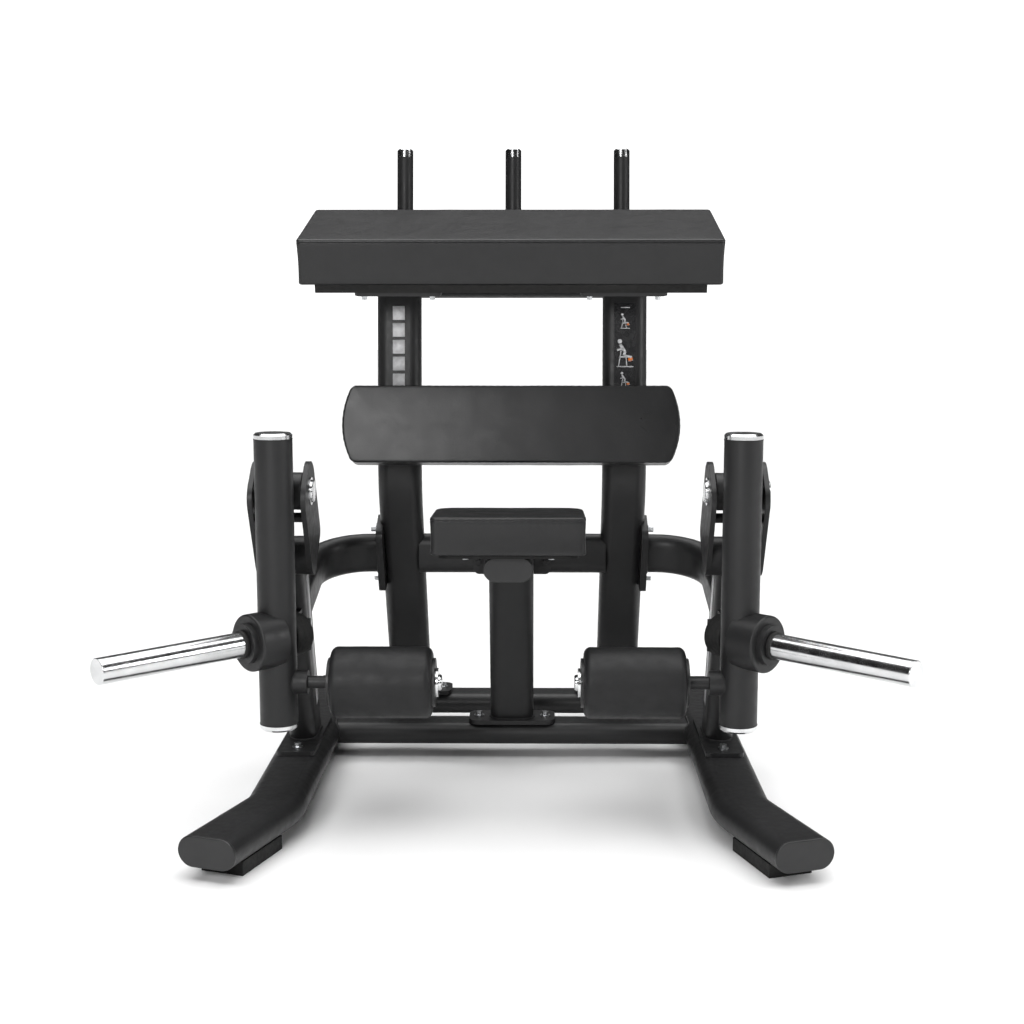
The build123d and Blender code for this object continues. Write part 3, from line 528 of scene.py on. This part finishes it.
def upholster(name, node, turn, corners, bow=0.0):
    """A sewn pad in place of a soft CAD node, with its row of stitches."""
    place, half_width, thickness = pad_place(node, turn)
    low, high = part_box(node)
    half_length = (high.x - low.x) / 2 - bow
    count = len(even_steps(rounded_outline(half_length, half_width, corners), PAD_STEP))
    seam_depth = CROWN + TOP_R + SEAM_DROP + SEAM[2][1] * MM
    mesh = bmesh.new()
    rings = []
    seam_loop = []
    for inset, depth in pad_section(half_width, thickness):
        radii = [max(radius - inset, LEAST_CORNER) for radius in corners]
        outline = rounded_outline(half_length - inset, half_width - inset, radii)
        nearness = math.exp(-abs(depth - seam_depth) / PUCKER_REACH) if inset < TOP_R else 0.0
        ring = []
        for index, (x, y) in enumerate(matched_steps(outline, count)):
            pull = PUCKER * nearness * math.sin(math.tau * index * PAD_STEP / PUCKER_LENGTH)
            x *= 1 - pull / half_length
            y *= 1 - pull / half_width
            x += math.copysign(bow * (1 - (y / half_width) ** 2) * abs(x / half_length) ** 3, x)
            ring.append(mesh.verts.new(Vector((x, y, -depth))))
        rings.append(ring)
        if abs(depth - seam_depth) < SAME_DEPTH:
            seam_loop = [vert.co.copy() for vert in ring]
    join_rings(mesh, rings, closed=False)
    mesh.faces.new(rings[0])
    mesh.faces.new(rings[-1])
    mesh.normal_update()
    for vert in mesh.verts:
        vert.co += vert.normal * (noise.noise(vert.co * RELIEF_PER_METRE) - RELIEF_SINK) * RELIEF
    mesh.transform(place)
    pad = add_piece(name, mesh, vinyl, "frame")
    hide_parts(node)
    stitch_row(f"{name}_stitches", seam_loop, place)


FOREARM_TURN = math.radians(15.1)
HIP_TURN = math.radians(77.5)
KNEE_TURN = math.radians(-2.5)
HIP_BOW = 21.0 * MM
upholster("forearm_cushion", "forearm_pad", FOREARM_TURN, (9.0 * MM, 9.0 * MM))
upholster("hip_cushion", "hip_pad", HIP_TURN, (10.0 * MM, 10.0 * MM), HIP_BOW)
upholster("knee_cushion", "knee_pad", KNEE_TURN, (12.0 * MM, 42.0 * MM))

# ---------------------------------------------------------------- roller sleeves
# Moulded foam sleeves with a smooth black skin, rounded at the ends and closed by
# one glued seam along their length. End discs hold them on the axle.
foam_skin = new_material("foam_skin", {"Specular IOR Level": 0.32})
tint(foam_skin, grain(foam_skin, 18.0), (0.0065, 0.0065, 0.007), (0.0105, 0.0105, 0.011))
spread(foam_skin, grain(foam_skin, 50.0), 0.44, 0.58, "Roughness")
emboss(foam_skin, ((grain(foam_skin, 260.0), 0.22 * MM), (grain(foam_skin, 1100.0), 0.06 * MM)))

RIM_R = 14.0 * MM
BORE_R = 30.4 * MM
BARREL = 0.6 * MM
RIM_STEPS = 8
WALL_STEPS = 12
END_RECESS = 0.6
SLEEVE_STEPS = 168
SLEEVE_SEAM_DEPTH = 1.1 * MM
SLEEVE_SEAM_HALF = 2.4 * MM
SLEEVE_SEAM_TURN = math.radians(205.0)
SLEEVE_RELIEF = 0.25 * MM
SLEEVE_RELIEF_PER_METRE = 22.0
BORE_MARGIN = 1.0 * MM


def sleeve_section(half_length, radius):
    """(along, out) points round half of a sleeve's wall, as one closed outline."""
    rim = []
    for step in range(RIM_STEPS + 1):
        angle = math.radians(90.0 * step / RIM_STEPS)
        along = half_length - RIM_R * (1 - math.cos(angle))
        out = radius - RIM_R * (1 - math.sin(angle))
        rim.append((along, out))
    flat = half_length - RIM_R
    wall = []
    for step in range(1, WALL_STEPS):
        along = flat * (1 - 2 * step / WALL_STEPS)
        wall.append((along, radius - BARREL * (along / flat) ** 4))
    far_rim = [(-along, out) for along, out in reversed(rim)]
    face = [(half_length, BORE_R), (half_length, END_RECESS * radius)]
    far_face = [(-along, out) for along, out in reversed(face)]
    return face + rim + wall + far_rim + far_face


for name, side in SIDES:
    low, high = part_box(f"{name}_roller_foam")
    radius = (high.z - low.z) / 2
    sleeve = bmesh.new()
    section = sleeve_section((high.x - low.x) / 2, radius)
    ring = [sleeve.verts.new((along, 0, out)) for along, out in section]
    edges = [sleeve.edges.new(pair) for pair in zip(ring, ring[1:] + ring[:1])]
    bmesh.ops.spin(
        sleeve, geom=ring + edges, cent=(0, 0, 0), axis=(1, 0, 0), dvec=(0, 0, 0),
        angle=math.tau, steps=SLEEVE_STEPS, use_merge=True,
    )
    for vert in sleeve.verts:
        out = math.hypot(vert.co.y, vert.co.z)
        if out < BORE_R + BORE_MARGIN:
            continue
        turn = math.atan2(vert.co.y, vert.co.z) % math.tau - SLEEVE_SEAM_TURN
        dip = SLEEVE_SEAM_DEPTH * math.exp(-(turn * out / SLEEVE_SEAM_HALF) ** 2)
        dip += SLEEVE_RELIEF * (0.5 + 0.5 * noise.noise(vert.co * SLEEVE_RELIEF_PER_METRE))
        vert.co.y *= 1 - dip / out
        vert.co.z *= 1 - dip / out
    bmesh.ops.translate(sleeve, verts=sleeve.verts, vec=(low + high) / 2)
    piece = add_piece(f"{name}_roller_sleeve", sleeve, foam_skin, f"{name}_roller")
    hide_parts(f"{name}_roller_foam")

# ---------------------------------------------------------------- plate and stripes
# A printed instruction plate on one upright, with plain pictures of a lever and
# a pad, and plain silver stripes on the other upright and on the side posts.
plate_print = new_material("plate_ground", {"Specular IOR Level": 0.5})
tint(plate_print, grain(plate_print, 40.0), (0.010, 0.010, 0.011), (0.014, 0.014, 0.015))
spread(plate_print, grain(plate_print, 90.0), 0.22, 0.3, "Roughness")
finish_nodes(plate_print, "instruction_plate")
silver_print = new_material("silver_print", {"Specular IOR Level": 0.5})
tint(silver_print, grain(silver_print, 120.0), (0.56, 0.56, 0.57), (0.68, 0.68, 0.69))
spread(silver_print, grain(silver_print, 300.0), 0.35, 0.45, "Roughness")
orange_print = new_material("orange_print", {"Specular IOR Level": 0.5})
tint(orange_print, grain(orange_print, 120.0), (0.72, 0.16, 0.01), (0.8, 0.2, 0.02))
spread(orange_print, grain(orange_print, 300.0), 0.35, 0.45, "Roughness")

PRINT_T = 0.25 * MM
PRINT_LIFT = 0.7 * MM
# Strokes of one picture, in millimetres: (start, end, width).
PICTURE = (
    ((-19, 0), (19, 0), 2.2),
    ((-15, 0), (-9, 36), 2.2),
    ((4, 0), (2, 22), 2.2),
    ((-13, 22), (6, 22), 3.0),
    ((-18, 37), (-3, 41), 4.0),
    ((-11, 50), (0, 33), 6.5),
    ((0, 33), (-3, 25), 5.5),
    ((-2, 25), (15, 21), 5.0),
    ((8, 12), (18, 15), 2.2),
)
HEAD = ((-12, 57), 5.0)
WORK_POINT = ((12, 17), 5.5)
# Each picture's foot on the plate, in millimetres from its middle, and its scale.
PICTURE_PLACES = ((41, 0.55), (-45, 1.0), (-94, 0.6))
TITLE_RULE = ((-10, 88), (10, 88), 2.0)
UPRIGHT_LEAN = math.radians(6.3)
POST_LEAN = math.radians(20.5)


def bar(mesh, start, end, width):
    """A flat printed stroke between two points of the local XY plane."""
    start = Vector((*start, 0)) * MM
    end = Vector((*end, 0)) * MM
    angle = math.atan2(end.y - start.y, end.x - start.x)
    place = Matrix.Translation((start + end) / 2) @ Matrix.Rotation(angle, 4, "Z")
    size = Matrix.Diagonal(((end - start).length, width * MM, PRINT_T, 1.0))
    bmesh.ops.create_cube(mesh, size=1.0, matrix=place @ size)


def dot(mesh, middle, radius):
    """A flat printed disc in the local XY plane."""
    place = Matrix.Translation((middle[0] * MM, middle[1] * MM, 0))
    bmesh.ops.create_cone(
        mesh, cap_ends=True, segments=28, radius1=radius * MM, radius2=radius * MM,
        depth=PRINT_T, matrix=place,
    )


plate_low, plate_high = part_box("instruction_plate")
plate_turn = Matrix.Rotation(math.pi / 2 - UPRIGHT_LEAN, 4, "X")
plate_middle = (plate_low + plate_high) / 2
plate_face = Matrix.Translation(plate_middle) @ plate_turn @ Matrix.Translation((0, 0, PRINT_LIFT))
lines = bmesh.new()
accents = bmesh.new()
bar(lines, *TITLE_RULE)
# Each picture: a person kneeling on a frame, with an accent where the machine works.
for foot, size in PICTURE_PLACES:
    for start, end, width in PICTURE:
        tail = (start[0] * size, foot + start[1] * size)
        tip = (end[0] * size, foot + end[1] * size)
        bar(lines, tail, tip, width * size)
    for mesh, ((x, y), radius) in ((lines, HEAD), (accents, WORK_POINT)):
        dot(mesh, (x * size, foot + y * size), radius * size)
lines.transform(plate_face)
accents.transform(plate_face)
add_piece("plate_pictures", lines, silver_print, "frame")
add_piece("plate_accents", accents, orange_print, "frame")

# The stripes' sizes, in millimetres.
STRIPE_W = 27.0
STRIPE_LENGTH = 31
STRIPE_PITCH = 38
STRIPE_REACH = 92
POST_STRIPE_W = 24.0
POST_STRIPE_HALF = 165
upright_low, upright_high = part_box("left_upright")
stripe_middle = Vector(((upright_low.x + upright_high.x) / 2, plate_middle.y, plate_middle.z))
stripes = bmesh.new()
for start in range(-STRIPE_REACH, STRIPE_REACH, STRIPE_PITCH):
    bar(stripes, (0, start), (0, start + STRIPE_LENGTH), STRIPE_W)
stripes.transform(Matrix.Translation(stripe_middle) @ plate_turn)
add_piece("upright_stripe", stripes, silver_print, "frame")

for name, side in SIDES:
    low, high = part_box(f"{name}_side_post")
    inner = low.x if side > 0 else high.x
    post_turn = Matrix.Rotation(-side * math.pi / 2, 4, "Y")
    lean_turn = Matrix.Rotation(POST_LEAN, 4, "X")
    stripe = bmesh.new()
    bar(stripe, (-POST_STRIPE_HALF, 0), (POST_STRIPE_HALF, 0), POST_STRIPE_W)
    middle = Vector((inner, (low.y + high.y) / 2, (low.z + high.z) / 2))
    stripe.transform(Matrix.Translation(middle) @ lean_turn @ post_turn)
    add_piece(f"{name}_post_stripe", stripe, silver_print, "frame")

# ---------------------------------------------------------------- floor, backdrop, light and camera
# A pale studio floor under a broad soft light from above, with a bright surround
# that only the camera sees, so that the coat's blacks stay deep.
FLOOR_SIZE = 60.0
SURROUND_GLOW = 1.3


def stage_object(name, mesh, paint):
    """Makes an object of a finished mesh that stands round the machine."""
    data = bpy.data.meshes.new(name)
    mesh.to_mesh(data)
    mesh.free()
    data.materials.append(paint)
    piece = bpy.data.objects.new(name, data)
    bpy.context.scene.collection.objects.link(piece)
    return piece


floor_mesh = bmesh.new()
bmesh.ops.create_grid(floor_mesh, x_segments=1, y_segments=1, size=FLOOR_SIZE / 2)
floor_paint = new_material("floor_paint", {"Base Color": (0.86, 0.86, 0.86, 1.0), "Roughness": 0.9})
floor = stage_object("floor", floor_mesh, floor_paint)

surround_mesh = bmesh.new()
bmesh.ops.create_uvsphere(surround_mesh, u_segments=48, v_segments=24, radius=FLOOR_SIZE / 2)
surround_paint = new_material("surround_paint", {
    "Base Color": (0.0, 0.0, 0.0, 1.0),
    "Emission Color": (1.0, 1.0, 1.0, 1.0),
    "Emission Strength": SURROUND_GLOW,
})
surround = stage_object("surround", surround_mesh, surround_paint)
for flag in ("visible_diffuse", "visible_glossy", "visible_transmission", "visible_shadow"):
    setattr(surround, flag, False)
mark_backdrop(floor, surround)

# The surround that lights the coat and shows in the chrome: dark at the front horizon,
# bright overhead and behind. Each ramp: axis, start, end, strength at each of them.
SKY_RAMPS = (
    ("Z", 0.05, 0.90, 0.09, 0.75),
    ("Y", 0.35, 0.95, 0.0, 1.3),
)
world = bpy.data.worlds.new("studio")
world.use_nodes = True
sky = world.node_tree
sky_way = sky.nodes.new("ShaderNodeTexCoord")
sky_parts = sky.nodes.new("ShaderNodeSeparateXYZ")
sky.links.new(sky_way.outputs["Generated"], sky_parts.inputs["Vector"])
sky_total = sky.nodes.new("ShaderNodeMath")
sky_total.operation = "ADD"
for index, (way, start, end, low_value, high_value) in enumerate(SKY_RAMPS):
    reach = sky.nodes.new("ShaderNodeMapRange")
    reach.inputs["From Min"].default_value = start
    reach.inputs["From Max"].default_value = end
    reach.inputs["To Min"].default_value = low_value
    reach.inputs["To Max"].default_value = high_value
    sky.links.new(sky_parts.outputs[way], reach.inputs["Value"])
    sky.links.new(reach.outputs["Result"], sky_total.inputs[index])
sky.links.new(sky_total.outputs["Value"], sky.nodes["Background"].inputs["Strength"])
bpy.context.scene.world = world
bpy.context.scene.view_settings.view_transform = "Standard"


def add_light(name, kind, energy, place, target, size):
    """A light aimed at a point; size is metres for an area light, radians for a sun."""
    data = bpy.data.lights.new(name, kind)
    data.energy = energy
    if kind == "SUN":
        data.angle = size
    else:
        data.shape = "DISK"
        data.size = size
    light = bpy.data.objects.new(name, data)
    aim = Vector(target) - Vector(place)
    light.matrix_world = Matrix.Translation(place) @ aim.to_track_quat("-Z", "Y").to_matrix().to_4x4()
    bpy.context.scene.collection.objects.link(light)


add_light("overhead", "SUN", 3.9, (0.0, 0.6, 6.0), (0.0, 0.0, 0.0), math.radians(75.0))
add_light("front_fill", "AREA", 95.0, (-1.2, -4.2, 2.2), (0.0, 0.0, 0.7), 1.8)
add_light("right_strip", "AREA", 30.0, (3.0, -1.0, 1.6), (0.0, 0.0, 0.6), 1.2)

CAMERA_PLACE = (0.0545, -3.1989, 1.0523)
CAMERA_PITCH = math.radians(82.0)
CAMERA_TURN = math.radians(0.67)
SENSOR_WIDTH = 36.0
LENS = 52.69
SHIFT_X = -0.0062
camera_data = bpy.data.cameras.new("camera")
camera_data.sensor_width = SENSOR_WIDTH
camera_data.lens = LENS
camera_data.shift_x = SHIFT_X
camera = bpy.data.objects.new("camera", camera_data)
camera.location = CAMERA_PLACE
camera.rotation_euler = (CAMERA_PITCH, 0.0, CAMERA_TURN)
bpy.context.scene.collection.objects.link(camera)
bpy.context.scene.camera = camera

low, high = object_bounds()
